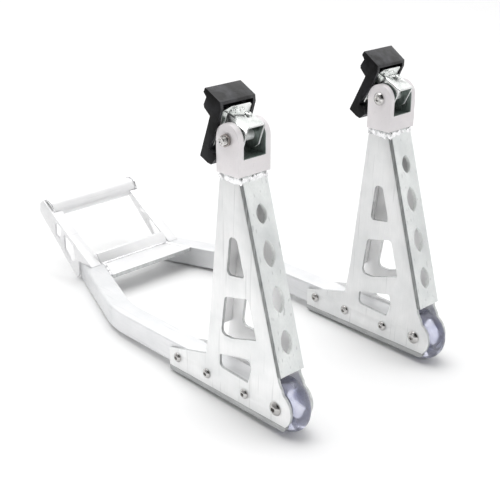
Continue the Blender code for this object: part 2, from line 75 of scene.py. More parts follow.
# Bolts and nuts. A head is (radius, height).
RAIL_BOLTS = {"front": 55.6, "middle": 126.6, "rear": 185.8}
BOLT_HEIGHT = -3.0
BOLT_RADIUS = 4.0
HOLE_RADIUS = BOLT_RADIUS + GAP
RAIL_BOLT_HEAD, RAIL_BOLT_KEY = (6.75, 4.2), 5.0
AXLE_BOLT_HEAD, AXLE_BOLT_KEY = (9.2, 5.2), 6.0
PIVOT_BOLT_HEAD, PIVOT_BOLT_KEY = (8.4, 4.6), 6.0
BOLT_PAST_NUT = 2.5
PIVOT_BOLT_PAST_CLEVIS = 9.4
NUT_FLATS, NUT_THICK = 13.0, 6.5
PIVOT_NUT_FLATS, PIVOT_NUT_THICK = 14.0, 4.0
# Wheels
WHEEL_RADIUS = 37.3
WHEEL_HALF = 12.0
CROWN_DROP, CROWN_POWER = 8.5, 2.3
HUB_RADIUS = 21.0
HUB_WEB_HALF = 3.5
HUB_BORE = 8.0
BEARING_RADIUS = 11.0
BEARING_WIDTH = 7.0
OUTER_RACE, INNER_RACE = 9.3, 7.7
SLEEVE_RADIUS = 6.0
# Rails, crossbar and handle
RAIL_TOP = 14.0
RAIL_BOTTOM = -19.0
RAIL_WIDTH = 31.4
BEND_AT = 337.0
BEND_ANGLE = math.radians(21.3)
CROSSBAR_FRONT, CROSSBAR_REAR = 433.9, 479.3
GRIP_Y, GRIP_Z, GRIP_RADIUS, GRIP_WALL = 596.7, 79.1, 15.0, 2.5
HANDLE_WEB_X = 86.0
HANDLE_SHEET = 3.6
HANDLE_ROOT = 487.5

# Details of the finished meshes, in millimetres and radians
FLAT_ANGLE = math.radians(0.5)
SHARP_ANGLE = math.radians(35)
SOFT_SEGMENTS = 5
THREAD_LENGTH, THREAD_PITCH = 12.0, 0.7
BEAD_SPACING = 0.7
BEAD_SIDES = 12
PLUG_DEPTH = 4.0

JOINTS = {joint["name"]: Vector(joint["pos_m"]) for joint in frame["joints"]}
AXLE = JOINTS["wheel_left_spin"]
REACH = JOINTS["head_left_swivel"] - AXLE
TILT = math.atan2(REACH.z, REACH.y) - math.atan2(PIN.z, PIN.y)
MM_SCALE = Matrix.Scale(MM, 4)
STAND = Matrix.Translation((0, AXLE.y, AXLE.z)) @ Matrix.Rotation(TILT, 4, "X") @ MM_SCALE


def head_place(side):
    """Frame of a head: its pivot is the origin and y points out of the pad's face."""
    rest = next(m for m in frame["record"]["mounts"] if m["name"] == f"fork_rest_{side}")
    turn = math.atan2(rest["axis"][2], rest["axis"][1])
    pivot = Matrix.Translation(JOINTS[f"head_{side}_swivel"])
    return pivot @ Matrix.Rotation(turn, 4, "X") @ MM_SCALE


HEADS = {side: head_place(side) for side in SIDES}
ALONG_X = Matrix.Rotation(math.pi / 2, 4, "Y")


# Materials


class Nodes:
    """Small helper that adds nodes to one material and links them."""

    def __init__(self, material):
        material.use_nodes = True
        self.tree = material.node_tree
        self.shader = self.tree.nodes["Principled BSDF"]
        self.place = self.add("ShaderNodeTexCoord").outputs["Object"]

    def add(self, kind, **inputs):
        node = self.tree.nodes.new(kind)
        for name, value in inputs.items():
            self.feed(node.inputs[name.replace("_", " ")], value)
        return node

    def feed(self, socket, value):
        if isinstance(value, bpy.types.NodeSocket):
            self.tree.links.new(value, socket)
        else:
            socket.default_value = value

    def noise(self, scale, stretch=(1, 1, 1), detail=3.0, roughness=0.55):
        """Noise whose features are 1 / scale metres across, stretched along an axis."""
        mapping = self.add("ShaderNodeMapping", Vector=self.place, Scale=stretch)
        return self.add(
            "ShaderNodeTexNoise",
            Vector=mapping.outputs["Vector"],
            Scale=scale,
            Detail=detail,
            Roughness=roughness,
        ).outputs["Fac"]

    def remap(self, value, low, high, start=0.0, end=1.0):
        """Takes low..high of a value to start..end."""
        node = self.tree.nodes.new("ShaderNodeMapRange")
        for name, number in zip(("From Min", "From Max", "To Min", "To Max"), (low, high, start, end)):
            node.inputs[name].default_value = number
        self.feed(node.inputs["Value"], value)
        return node.outputs["Result"]

    def blend(self, factor, first, second):
        """Colour between two, by a factor."""
        node = self.tree.nodes.new("ShaderNodeMix")
        node.data_type = "RGBA"
        self.feed(node.inputs["Factor"], factor)
        for socket, colour in zip((node.inputs["A"], node.inputs["B"]), (first, second)):
            self.feed(socket, colour if isinstance(colour, bpy.types.NodeSocket) else (*colour, 1.0))
        return node.outputs["Result"]

    def bump(self, height, distance, strength=1.0, under=None):
        node = self.add("ShaderNodeBump", Height=height, Distance=distance, Strength=strength)
        if under:
            self.feed(node.inputs["Normal"], under)
        return node.outputs["Normal"]


def finish_with(name, **fixed):
    """New material with fixed values on its shader's own sockets."""
    material = bpy.data.materials.new(name)
    nodes = Nodes(material)
    for socket, value in fixed.items():
        nodes.shader.inputs[socket.replace("_", " ")].default_value = value
    return material, nodes


def aluminium(name, light, dark, roughness, stretch, metallic=0.75, scratch=0.5):
    """Brushed or machined aluminium: fine streaks, a cloudy oxide tone and a few longer scratches."""
    material, nodes = finish_with(name, Metallic=metallic)
    streaks = nodes.noise(900, stretch, detail=4)
    cloud = nodes.noise(22, detail=5)
    scratches = nodes.remap(nodes.noise(260, stretch, detail=1), 0.66, 0.72)
    tone = nodes.blend(nodes.remap(cloud, 0.35, 0.7), light, dark)
    tone = nodes.blend(nodes.remap(streaks, 0.35, 0.65, 0, 0.35), tone, dark)
    worn = nodes.blend(nodes.remap(scratches, 0, 1, 0, scratch), tone, [c * 0.8 for c in dark])
    nodes.feed(nodes.shader.inputs["Base Color"], worn)
    rough = nodes.remap(nodes.noise(60, detail=4), 0.3, 0.7, roughness * 0.8, roughness * 1.25)
    nodes.feed(nodes.shader.inputs["Roughness"], rough)
    fine = nodes.bump(streaks, 0.00003, 0.5)
    nodes.feed(nodes.shader.inputs["Normal"], nodes.bump(scratches, 0.00005, 0.4, fine))
    return material


def marked_tone(name, light, dark, stretch, metallic=0.85):
    """Two tones with marks across them, mostly painted shade or painted highlight on edges and recesses."""
    material, nodes = finish_with(name, Metallic=metallic)
    marks = nodes.noise(500, stretch, detail=2)
    cloud = nodes.noise(60, detail=3)
    tone = nodes.blend(nodes.remap(marks, 0.3, 0.7), light, dark)
    stains = nodes.remap(cloud, 0.4, 0.8, 0, 0.6)
    nodes.feed(nodes.shader.inputs["Base Color"], nodes.blend(stains, tone, dark))
    nodes.feed(nodes.shader.inputs["Roughness"], nodes.remap(marks, 0.3, 0.7, 0.35, 0.6))
    nodes.feed(nodes.shader.inputs["Normal"], nodes.bump(marks, 0.0001, 0.6))
    return material


def weld_metal():
    """Aluminium weld: bright, lumpy and sooty in its hollows."""
    material, nodes = finish_with("weld_aluminium", Metallic=0.8)
    soot = nodes.remap(nodes.noise(130, detail=5), 0.5, 0.72)
    nodes.feed(nodes.shader.inputs["Base Color"], nodes.blend(soot, (0.93, 0.93, 0.94), (0.42, 0.42, 0.43)))
    nodes.feed(nodes.shader.inputs["Roughness"], nodes.remap(soot, 0, 1, 0.22, 0.6))
    lumps = nodes.noise(700, detail=3)
    nodes.feed(nodes.shader.inputs["Normal"], nodes.bump(lumps, 0.0003, 0.5))
    return material


def plated(name, colour, shade, roughness, cloud_scale=90, bump=0.3):
    """Plated steel: mirror-like, with faint clouds in its gloss."""
    material, nodes = finish_with(name, Metallic=1.0)
    cloud = nodes.noise(cloud_scale, detail=5)
    tone = nodes.blend(nodes.remap(cloud, 0.35, 0.75), colour, shade)
    nodes.feed(nodes.shader.inputs["Base Color"], tone)
    rough = nodes.remap(cloud, 0.3, 0.7, roughness * 0.7, roughness * 1.5)
    nodes.feed(nodes.shader.inputs["Roughness"], rough)
    nodes.feed(nodes.shader.inputs["Normal"], nodes.bump(nodes.noise(1400, detail=3), 0.00002, bump))
    return material


def rubber(name, gloss, deep, dusty):
    """Moulded black rubber with a fine pebbled skin and dusty grey patches."""
    material, nodes = finish_with(name, Specular_IOR_Level=gloss)
    pebbles = nodes.noise(1500, detail=2)
    dust = nodes.remap(nodes.noise(60, detail=6), 0.45, 0.7)
    nodes.feed(nodes.shader.inputs["Base Color"], nodes.blend(dust, deep, dusty))
    nodes.feed(nodes.shader.inputs["Roughness"], nodes.remap(dust, 0, 1, 0.32, 0.55))
    waves = nodes.bump(nodes.noise(110, detail=3), 0.0009, 0.5)
    nodes.feed(nodes.shader.inputs["Normal"], nodes.bump(pebbles, 0.00008, 0.5, waves))
    return material


def clear(name, colour, cloud, roughness, ior, through):
    """Clear moulded plastic, slightly uneven inside and out."""
    material, nodes = finish_with(name, IOR=ior, Transmission_Weight=through)
    patches = nodes.noise(70, detail=3)
    tone = nodes.blend(nodes.remap(patches, 0.35, 0.7), colour, cloud)
    nodes.feed(nodes.shader.inputs["Base Color"], tone)
    rough = nodes.remap(patches, 0.3, 0.7, roughness * 0.6, roughness * 1.4)
    nodes.feed(nodes.shader.inputs["Roughness"], rough)
    nodes.feed(nodes.shader.inputs["Normal"], nodes.bump(nodes.noise(120, detail=1), 0.0004, 0.35))
    return material


# Scales of the coordinates that draw noise out into streaks along z, y and x
UPWARD = (1.0, 1.0, 0.04)
ENDWISE = (1.0, 0.03, 1.0)
ACROSS = (0.04, 1.0, 1.0)
SURFACES = {
    "plate": aluminium("plate_aluminium", (0.86, 0.86, 0.86), (0.74, 0.75, 0.75), 0.42, UPWARD, 0.5),
    "front": aluminium("front_aluminium", (0.80, 0.82, 0.81), (0.62, 0.64, 0.64), 0.38, UPWARD, 0.7, 0.7),
    "tube": aluminium("tube_aluminium", (0.80, 0.80, 0.81), (0.71, 0.72, 0.73), 0.45, ENDWISE, 0.5, 0.3),
    "bar": aluminium("bar_aluminium", (0.88, 0.88, 0.88), (0.80, 0.80, 0.81), 0.42, ACROSS, 0.5, 0.3),
    "clevis": aluminium("clevis_satin", (0.80, 0.77, 0.78), (0.73, 0.705, 0.715), 0.5, (1, 1, 1), 0.35, 0.2),
    # Near-white, hardly metallic copy of the plate for faces inside the uprights: painted light inside them.
    "painted_light_inside": aluminium("aluminium_painted_light", (0.98, 0.98, 0.98), (0.92, 0.92, 0.92), 0.5, UPWARD, 0.1, 0.1),
    # Dark grey for the sole plate: painted shade, the shadow band along the foot's lower edge.
    "fold": marked_tone("folded_edge", (0.52, 0.53, 0.53), (0.38, 0.39, 0.39), (1.0, 0.1, 1.0), 0.6),
    # Dark green-grey for faces inside the clevis slot and the arm's channel: painted shade in these recesses.
    "shade_recess": marked_tone("recess_painted_shade", (0.44, 0.49, 0.47), (0.22, 0.27, 0.25), (1.0, 1.0, 0.2)),
    # Near-white, hardly metallic tone for the front plates' hole walls, the arms' front edges and the pivot
    # sleeves: painted highlight and painted light on them.
    "rim": marked_tone("near_white_painted_highlight", (0.92, 0.93, 0.92), (0.75, 0.77, 0.76), (1.0, 1.0, 1.0), 0.3),
    # Darker grey for the side plates' edge faces and the crossbar's faces that don't face up: painted shade on
    # them.
    "cut": marked_tone("cut_edge_painted_shade", (0.66, 0.67, 0.67), (0.48, 0.49, 0.49), (1.0, 1.0, 0.1)),
    # Dark grey for the front plates' side edges: darker than their faces.
    "marked_tone": marked_tone("front_side_edge_dark", (0.36, 0.37, 0.37), (0.20, 0.21, 0.21), (1.0, 1.0, 0.1)),
    "weld": weld_metal(),
    "zinc": plated("zinc_plating", (0.90, 0.91, 0.90), (0.64, 0.67, 0.65), 0.17),
    "chrome": plated("chrome_plating", (0.62, 0.61, 0.60), (0.42, 0.41, 0.40), 0.12),
    # Dark zinc for the pivot nuts: painted shade and painted dark reflections on them.
    "dark": plated("zinc_painted_shade", (0.36, 0.33, 0.31), (0.20, 0.19, 0.18), 0.22),
    "rubber": rubber("moulded_rubber", 0.42, (0.004, 0.004, 0.005), (0.07, 0.071, 0.078)),
    # Darker, less glossy copy of the rubber for the pads' sides: painted shade on them.
    "rubber_side_painted_shade": rubber("rubber_side_painted_shade", 0.12, (0.002, 0.002, 0.002), (0.016, 0.016, 0.018)),
    "tyre": clear("clear_tyre_urethane", (0.80, 0.81, 0.92), (0.58, 0.60, 0.78), 0.10, 1.45, 0.85),
    "hub": clear("clear_hub_plastic", (0.64, 0.66, 0.76), (0.40, 0.42, 0.54), 0.10, 1.45, 0.8),
}


# Meshes


def make_piece(name, bm, surfaces, body, place=STAND, sharp=35):
    """Object made of a bmesh, moved to its place, given its materials and set on its body."""
    mesh = bpy.data.meshes.new(name)
    bmesh.ops.recalc_face_normals(bm, faces=bm.faces)
    bm.to_mesh(mesh)
    bm.free()
    mesh.transform(place)
    for surface in surfaces:
        mesh.materials.append(SURFACES[surface])
    mesh.shade_smooth()
    mesh.set_sharp_from_angle(angle=math.radians(sharp))
    obj = bpy.data.objects.new(name, mesh)
    bpy.context.scene.collection.objects.link(obj)
    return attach(obj, body)


def round_edges(bm, edges, width, segments):
    bmesh.ops.bevel(
        bm,
        geom=edges,
        offset=width * MM,
        segments=segments,
        profile=0.5,
        affect="EDGES",
        clamp_overlap=True,
    )


def refined(node, surfaces, body, width=0.4, segments=2, pick=None, soft=None):
    """Copy of a CAD node with clean faces and rounded edges.

    pick numbers a face's surface from its middle and normal. soft is (test of an edge's two ends,
    width) and rounds the edges that it picks more widely than the rest.
    """
    bm = bmesh.new()
    bm.from_mesh(frame["nodes"][node].data)
    bmesh.ops.remove_doubles(bm, verts=bm.verts, dist=0.01 * MM)
    bmesh.ops.dissolve_limit(bm, angle_limit=FLAT_ANGLE, verts=bm.verts, edges=bm.edges)
    bmesh.ops.connect_verts_concave(bm, faces=bm.faces)
    if soft:
        test, wide = soft
        picked = [e for e in bm.edges if test(*(vert.co for vert in e.verts))]
        round_edges(bm, picked, wide, SOFT_SEGMENTS)
    sharp = [e for e in bm.edges if len(e.link_faces) == 2 and e.calc_face_angle(0) > SHARP_ANGLE]
    round_edges(bm, sharp, width, segments)
    if pick:
        for face in bm.faces:
            face.material_index = pick(face.calc_center_median(), face.normal)
    piece = make_piece(f"{node}_finished", bm, surfaces, body, Matrix.Identity(4))
    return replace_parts(piece, node)


def hexagon(flats):
    """Radius of a hexagon as a function of the angle."""
    return lambda angle: flats / 2 / math.cos(angle % (math.pi / 3) - math.pi / 6)


def lathe(bm, rings, steps=48, closed=False):
    """Adds a surface through rings (radius, height) about z. A radius may be a function of the angle."""
    loops = []
    for radius, height in rings:
        if radius == 0:
            loops.append([bm.verts.new((0, 0, height))])
            continue
        loop = []
        for step in range(steps):
            angle = 2 * math.pi * step / steps
            reach = radius(angle) if callable(radius) else radius
            loop.append(bm.verts.new((reach * math.cos(angle), reach * math.sin(angle), height)))
        loops.append(loop)
    pairs = list(zip(loops, loops[1:]))
    if closed:
        pairs.append((loops[-1], loops[0]))
    for first, second in pairs:
        for step in range(steps):
            following = (step + 1) % steps
            corners = []
            for vert in (
                first[step % len(first)],
                first[following % len(first)],
                second[following % len(second)],
                second[step % len(second)],
            ):
                if vert not in corners:
                    corners.append(vert)
            bm.faces.new(corners)
    return bm


def turned(name, rings, surface, body, place, steps=48, closed=False, sharp=35):
    bm = lathe(bmesh.new(), rings, steps, closed)
    return make_piece(name, bm, [surface], body, place, sharp)


def at(x, y, z, way=1):
    """Place in the stand's frame whose local z points along x, or against it."""
    turn = ALONG_X if way > 0 else Matrix.Rotation(-math.pi / 2, 4, "Y")
    return STAND @ Matrix.Translation((x, y, z)) @ turn


def resample(points, spacing, closed):
    """Points at an even spacing along straight runs between points."""
    ends = points + points[:1] if closed else points
    made = []
    for start, end in zip(ends, ends[1:]):
        count = max(1, round((end - start).length / spacing))
        made += [start.lerp(end, i / count) for i in range(count)]
    return made if closed else made + [ends[-1]]


def bead(name, points, up, half, body, surface="weld", closed=False, ragged=0.25, place=STAND):
    """Weld bead along a path. half gives its half-thickness sideways and its half-height along up."""
    up = Vector(up).normalized()
    rows = resample([Vector(p) for p in points], BEAD_SPACING, closed)
    seed = Vector((RANDOM.uniform(0, 90), RANDOM.uniform(0, 90), RANDOM.uniform(0, 90)))
    bm = bmesh.new()
    loops = []
    count = len(rows)
    pitch = RANDOM.uniform(2.2, 2.8)
    for i, row in enumerate(rows):
        before = rows[i - 1] if i or closed else row
        after = rows[(i + 1) % count] if i < count - 1 or closed else row
        along = (after - before).normalized()
        side = along.cross(up).normalized()
        end = 1.0 if closed else min(1.0, 0.45 + 0.4 * min(i, count - 1 - i))
        ripple = 0.9 + 0.16 * abs(math.sin(math.pi * BEAD_SPACING * i / pitch))
        wander = noise.noise(row * 0.12 + seed) * ragged * half[1]
        swell = (1 + ragged * noise.noise(row * 0.25 - seed)) * ripple * end
        loop = []
        for step in range(BEAD_SIDES):
            angle = 2 * math.pi * step / BEAD_SIDES
            lump = 1 + 0.5 * ragged * noise.noise(Vector((row.x + step * 9, row.y, row.z)) * 0.5 + seed)
            out = side * math.cos(angle) * half[0] * swell * lump
            rise = up * (math.sin(angle) * half[1] * swell * lump + wander)
            loop.append(bm.verts.new(row + out + rise))
        loops.append(loop)
    pairs = list(zip(loops, loops[1:]))
    if closed:
        pairs.append((loops[-1], loops[0]))
    for first, second in pairs:
        for step in range(BEAD_SIDES):
            following = (step + 1) % BEAD_SIDES
            bm.faces.new((first[step], first[following], second[following], second[step]))
    if not closed:
        bm.faces.new(loops[0])
        bm.faces.new(loops[-1][::-1])
    return make_piece(name, bm, [surface], body, place, 60)


# Uprights


def front_line(z):
    """y of the front plate's face at a height."""
    return FRONT_AT_AXLE + LEAN * z


def make_upright(side, sign):
    turn = STAND.to_3x3().normalized()
    forward = turn @ Vector((0, 1, -LEAN)).normalized()
    centre = sign * TRACK / 2

    def side_surface(middle, normal):
        spot = STAND.inverted() @ middle
        # Edge faces get the darker tone that paints shade on them.
        if abs(normal.x) < 0.5:
            return 1
        # Faces inside the upright get the near-white tone that paints light in them.
        return 2 if abs(spot.x - centre) < WIDTH / 2 - PLATE + 0.2 else 0

    def front_surface(middle, normal):
        spot = STAND.inverted() @ middle
        facing = normal.dot(forward)
        # Faces across the plate: its side edges get the dark tone, darker than its faces.
        if abs(facing) < 0.5:
            # The walls of the holes get the near-white tone that paints highlight on them.
            return 1 if abs(spot.x - centre) > WIDTH / 2 - 0.6 else 3
        # Back faces get the near-white tone that paints light inside the upright.
        return 0 if facing < 0 else 2

    def lower_corner(first, second):
        ends = [STAND.inverted() @ end for end in (first, second)]
        along = (ends[1] - ends[0]).normalized()
        return abs(along.x) < 0.1 and all(
            abs(e.z - SOLE_BOTTOM) < 0.1 and abs(abs(e.x - centre) - WIDTH / 2) < 0.1 for e in ends
        )

    for node in (f"outer_plate_{side}", f"inner_plate_{side}"):
        refined(node, ["plate", "cut", "painted_light_inside"], "frame", 0.35, 2, side_surface)
    surfaces = ["front", "marked_tone", "painted_light_inside", "rim"]
    refined(f"front_plate_{side}", surfaces, "frame", 0.5, 2, front_surface)
    # The sole plate is drawn dark grey to paint the shadow band under the foot.
    node = f"sole_plate_{side}"
    refined(node, ["fold"], "frame", 0.5, 2, soft=(lower_corner, 4.0))
    # The back plate is all in the near-white tone, painting light inside the upright.
    refined(f"back_plate_{side}", ["painted_light_inside"], "frame", 0.3)

    # Slot faces get the dark tone that paints shade inside the clevis slot.
    def in_slot(middle, normal):
        spot = STAND.inverted() @ middle
        return int(abs(spot.x - centre) < CLEVIS_SLOT / 2 + 0.3 and abs(normal.y) < 0.8)

    refined(f"clevis_{side}", ["clevis", "shade_recess"], "frame", 0.7, 3, in_slot)
    half = WIDTH / 2 + 0.3
    front = front_line(UPRIGHT_TOP) - 0.2
    thick, tall = 1.7, 4.6
    z = UPRIGHT_TOP - tall
    corners = [
        (centre - half, front, z),
        (centre + half, front, z),
        (centre + half, UPRIGHT_REAR, z),
        (centre - half, UPRIGHT_REAR, z),
    ]
    name = f"clevis_weld_{side}"
    bead(name, corners, (0, 0, 1), (thick, tall), "frame", closed=True, ragged=0.5)


# Fasteners


def button_bolt(name, node, body, place, head, shank, end, socket, surface="chrome"):
    """Socket bolt with a domed head. Its shank is threaded at its end, and socket is the key's size."""
    radius, height = head
    base = GAP
    rim = base + 0.8
    ball = (radius**2 + (height - 0.8) ** 2) / (2 * (height - 0.8))
    middle = base + height - ball
    widest = math.asin(radius / ball)
    key = hexagon(socket)
    top = middle + math.sqrt(ball**2 - (socket * 0.56) ** 2)
    floor = top - socket * 0.45
    rings = [(0, floor - 0.8), (key, floor), (key, top - 0.25)]
    opening = math.asin(socket * 0.64 / ball)
    for i in range(9):
        angle = opening + (widest - opening) * i / 8
        rings.append((ball * math.sin(angle), middle + ball * math.cos(angle)))
    rings += [(radius, rim - 0.2), (radius - 0.15, base), (shank, base)]
    z = end + THREAD_LENGTH
    rings.append((shank, z))
    while z > end + 1.2:
        rings += [(shank * 0.88, z - 0.3), (shank, z - 0.65)]
        z -= THREAD_PITCH
    rings += [(shank * 0.8, end), (shank * 0.62, end), (shank * 0.5, end + 1.0), (0, end + 1.2)]
    piece = turned(name, rings, surface, body, place, sharp=40)
    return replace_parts(piece, node)


def hex_nut(name, node, place, flats, bore, thickness, surface="zinc"):
    """Nut with its corners turned off at both ends."""
    key = hexagon(flats)
    widest = flats / math.sqrt(3)
    half = thickness / 2
    chamfer = widest - flats / 2

    def cut(limit):
        return lambda angle: min(key(angle), limit)

    rings = [
        (bore + 0.6, half - 0.1),
        (cut(flats / 2 - 0.1), half),
        (cut(flats / 2 + 0.5 * chamfer), half - 0.35 * chamfer),
        (cut(widest), half - 0.9 * chamfer),
        (cut(widest), 0.9 * chamfer - half),
        (cut(flats / 2 + 0.5 * chamfer), 0.35 * chamfer - half),
        (cut(flats / 2 - 0.1), -half),
        (bore + 0.6, 0.1 - half),
        (bore, 0.7 - half),
        (bore, half - 0.7),
    ]
    piece = turned(name, rings, surface, "frame", place, closed=True, sharp=25)
    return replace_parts(piece, node)


def make_fasteners(side, sign):
    centre = sign * TRACK / 2
    face = WIDTH / 2
    end = -2 * face - NUT_THICK - BOLT_PAST_NUT
    nut_x = centre + face + GAP + NUT_THICK / 2
    bolts = [
        (f"rail_{{}}_{spot}_{side}", (y, BOLT_HEIGHT), RAIL_BOLT_HEAD, RAIL_BOLT_KEY)
        for spot, y in RAIL_BOLTS.items()
    ]
    bolts.append((f"axle_{{}}_{side}", (0, 0), AXLE_BOLT_HEAD, AXLE_BOLT_KEY))
    for name, (y, z), head, key in bolts:
        node = name.format("bolt")
        place = at(centre - face, y, z, -1)
        button_bolt(f"{node}_finished", node, "frame", place, head, BOLT_RADIUS, end, key)
        node = name.format("nut")
        hex_nut(f"{node}_finished", node, at(nut_x, y, z), NUT_FLATS, HOLE_RADIUS, NUT_THICK)
    half = CLEVIS_WIDTH / 2
    end = -2 * half - PIVOT_BOLT_PAST_CLEVIS
    node = f"pivot_bolt_{side}"
    place = at(centre - sign * half, PIN.y, PIN.z, -sign)
    button_bolt(
        f"{node}_finished", node, "frame", place, PIVOT_BOLT_HEAD, PIN_RADIUS, end, PIVOT_BOLT_KEY
    )
    # The pivot nut is drawn in dark zinc, painting shade and dark reflections on it.
    node = f"pivot_nut_{side}"
    place = at(centre + sign * (half + GAP + PIVOT_NUT_THICK / 2), PIN.y, PIN.z, sign)
    hex_nut(
        f"{node}_finished", node, place, PIVOT_NUT_FLATS, PIN_RADIUS + GAP, PIVOT_NUT_THICK, "dark"
    )


# Wheels


def make_tyre(side, body, place):
    half = WHEEL_HALF
    crown = []
    for i in range(17):
        t = 1 - i / 8
        crown.append((WHEEL_RADIUS - CROWN_DROP * abs(t) ** CROWN_POWER, half * t))
    bore = HUB_RADIUS + GAP
    rings = [*crown, (bore + 1.2, -half), (bore, -half + 1.0), (bore, half - 1.0), (bore + 1.2, half)]
    tyre = turned(f"tyre_{side}", rings, "tyre", body, place, 96, True, 50)
    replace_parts(tyre, f"wheel_tyre_{side}")


def make_hub(side, body, place):
    half = WHEEL_HALF
    seat = BEARING_RADIUS + GAP
    shelf = half - BEARING_WIDTH - GAP
    rings = [
        (HUB_RADIUS, half - 0.6),
        (HUB_RADIUS, 0.6 - half),
        (HUB_RADIUS - 0.6, -half),
        (HUB_RADIUS - 2.6, -half),
        (HUB_RADIUS - 3.2, -HUB_WEB_HALF),
        (seat + 2.8, -HUB_WEB_HALF),
        (seat + 2.2, -half),
        (seat, -half),
        (seat, -shelf),
        (HUB_BORE, -shelf),
        (HUB_BORE, shelf),
        (seat, shelf),
        (seat, half),
        (seat + 2.2, half),
        (seat + 2.8, HUB_WEB_HALF),
        (HUB_RADIUS - 3.2, HUB_WEB_HALF),
        (HUB_RADIUS - 2.6, half),
        (HUB_RADIUS - 0.6, half),
    ]
    hub = turned(f"hub_{side}", rings, "hub", body, place, 72, True)
    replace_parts(hub, f"wheel_hub_{side}")


def make_axle_sleeve(side, place):
    end = WIDTH / 2 - PLATE - GAP
    rings = [
        (SLEEVE_RADIUS, end - 0.4),
        (SLEEVE_RADIUS, 0.4 - end),
        (SLEEVE_RADIUS - 0.4, -end),
        (HOLE_RADIUS, -end),
        (HOLE_RADIUS, end),
        (SLEEVE_RADIUS - 0.4, end),
    ]
    node = f"axle_sleeve_{side}"
    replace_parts(turned(f"{node}_finished", rings, "zinc", "frame", place, 48, True), node)


def make_bearings(side, sign, body, centre):
    """Ball bearings as two races with a shield sunk between them."""
    deep = BEARING_WIDTH / 2
    sunk = deep - 0.5
    race = [
        (BEARING_RADIUS, deep - 0.4),
        (BEARING_RADIUS - 0.4, deep),
        (OUTER_RACE, deep),
        (OUTER_RACE - 0.2, sunk),
        (INNER_RACE + 0.2, sunk),
        (INNER_RACE, deep),
        (SLEEVE_RADIUS + GAP, deep),
        (SLEEVE_RADIUS + GAP, -deep),
        (INNER_RACE, -deep),
        (INNER_RACE + 0.2, -sunk),
        (OUTER_RACE - 0.2, -sunk),
        (OUTER_RACE, -deep),
        (BEARING_RADIUS - 0.4, -deep),
        (BEARING_RADIUS, 0.4 - deep),
    ]
    for name, way in (("outer", sign), ("inner", -sign)):
        node = f"wheel_bearing_{name}_{side}"
        place = at(centre + way * (WHEEL_HALF - BEARING_WIDTH / 2), 0, 0)
        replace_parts(turned(f"{node}_races", race, "chrome", body, place, 48, True), node)


def make_wheel(side, sign):
    centre = sign * TRACK / 2
    body = f"wheel_{side}"
    place = at(centre, 0, 0)
    make_tyre(side, body, place)
    make_hub(side, body, place)
    make_axle_sleeve(side, place)
    make_bearings(side, sign, body, centre)


# Heads


def make_pad_screw(side, body, place):
    """Small socket screw through the top of the arm."""
    radius, shank, height = 4.3, 2.0, 2.2
    seat = ARM_TOP + GAP
    top = seat + height
    rings = [
        (0, top - 1.1),
        (hexagon(2.7), top - 1.1),
        (hexagon(2.8), top - 0.1),
        (radius * 0.62, top),
        (radius * 0.86, top - 0.45),
        (radius, seat + 0.7),
        (radius, seat),
        (shank, seat),
        (shank, seat - 8.0),
        (0, seat - 8.0),
    ]
    spot = place @ Matrix.Translation(PAD_SCREW_PLACE)
    screw = turned(f"pad_screw_{side}_finished", rings, "zinc", body, spot)
    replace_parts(screw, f"pad_screw_{side}")


def make_head(side):
    place = HEADS[side]
    body = f"head_{side}"
    outer = ARM_WIDTH / 2

    def arm_surface(middle, normal):
        spot = place.inverted() @ middle
        # Front end faces get the near-white tone that paints highlight on the sheet's edges.
        if (place.inverted().to_3x3().normalized() @ normal).y < -0.7:
            return 2
        # Faces inside the channel get the dark tone that paints shade in it.
        return int(abs(spot.x) < outer - ARM_SHEET and spot.z < ARM_TOP - ARM_SHEET)

    def bend(first, second):
        ends = [place.inverted() @ end for end in (first, second)]
        return all(abs(abs(e.x) - outer) < 0.1 and abs(e.z - ARM_TOP) < 0.1 for e in ends)

    # Faces turned sideways get the darker rubber that paints shade on the pad's sides.
    def pad_surface(middle, normal):
        return int(abs(normal.x) > 0.6)

    surfaces = ["zinc", "shade_recess", "rim"]
    refined(f"swivel_arm_{side}", surfaces, body, 0.4, 2, arm_surface, (bend, 4.0))
    refined(f"carrier_plate_{side}", ["zinc"], body, 0.3, 2)
    surfaces = ["rubber", "rubber_side_painted_shade"]
    refined(f"rubber_pad_{side}", surfaces, body, 0.5, 3, pad_surface)
    # The pivot sleeve gets the near-white tone that paints light on it.
    refined(f"pivot_sleeve_{side}", ["rim"], body, 0.3, 2)
    make_pad_screw(side, body, place)
    reach, rear, top = 11.0, 19.2, ARM_TOP - 0.4
    path = [(-reach, rear, top), (reach, rear, top)]
    name = f"carrier_weld_{side}"
    bead(name, path, (0, 0, 1), (1.8, 2.2), body, "zinc", ragged=0.7, place=place)


# Rails, crossbar and handle


def rail_inner_x(y):
    """Half-width between the rails behind their bend."""
    run = (y - BEND_AT) * math.tan(BEND_ANGLE)
    return TRACK / 2 - run - (RAIL_WIDTH / 2 + GAP) / math.cos(BEND_ANGLE)


def make_rails():
    def long_corner(first, second):
        ends = [STAND.inverted() @ end for end in (first, second)]
        along = (ends[1] - ends[0]).normalized()
        return abs(along.y) > 0.8 and all(
            min(abs(e.z - RAIL_TOP), abs(e.z - RAIL_BOTTOM)) < 0.1 for e in ends
        )

    for side in SIDES:
        refined(f"rail_{side}", ["tube"], "frame", 0.4, 2, soft=(long_corner, 2.8))
        refined(f"handle_side_{side}", ["bar"], "frame", 0.5, 2)

    # Faces of the crossbar that don't face up get the darker tone that paints shade on them.
    def bar_surface(middle, normal):
        return int(normal.z < 0.5)

    refined("crossbar", ["bar", "cut"], "frame", 1.2, 3, bar_surface)
    refined("handle_root_plate", ["bar"], "frame", 0.5, 2)


